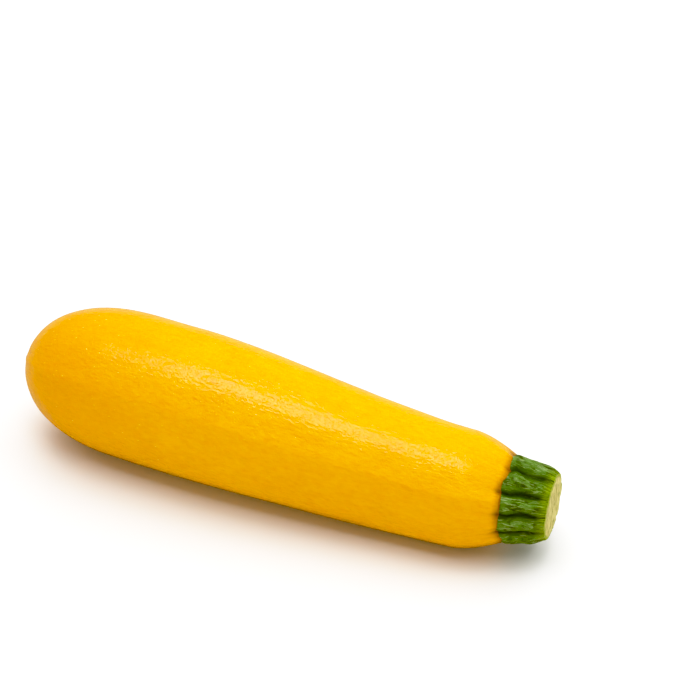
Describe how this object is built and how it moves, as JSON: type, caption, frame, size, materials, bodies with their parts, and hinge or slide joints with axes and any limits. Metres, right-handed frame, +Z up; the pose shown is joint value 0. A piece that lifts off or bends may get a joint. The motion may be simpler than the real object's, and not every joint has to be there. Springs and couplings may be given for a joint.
{
  "type": "yellow zucchini",
  "caption": "Whole yellow summer squash lying on its side, smooth and slightly bent, with the ribbed green stub of its cut stem.",
  "frame": {"origin": "on the ground, under the middle of the bounding box", "axes": "+X along the fruit from the blossom end to the stem, +Z up, +Y across the fruit on the hollow side of its bend"},
  "size_m": [0.1914, 0.0506, 0.0495],
  "materials": {
    "skin": "satin",
    "stem": "matte"
  },
  "bodies": {
    "root": {"fruit": "skin", "stem": "stem"}
  },
  "joints": []
}
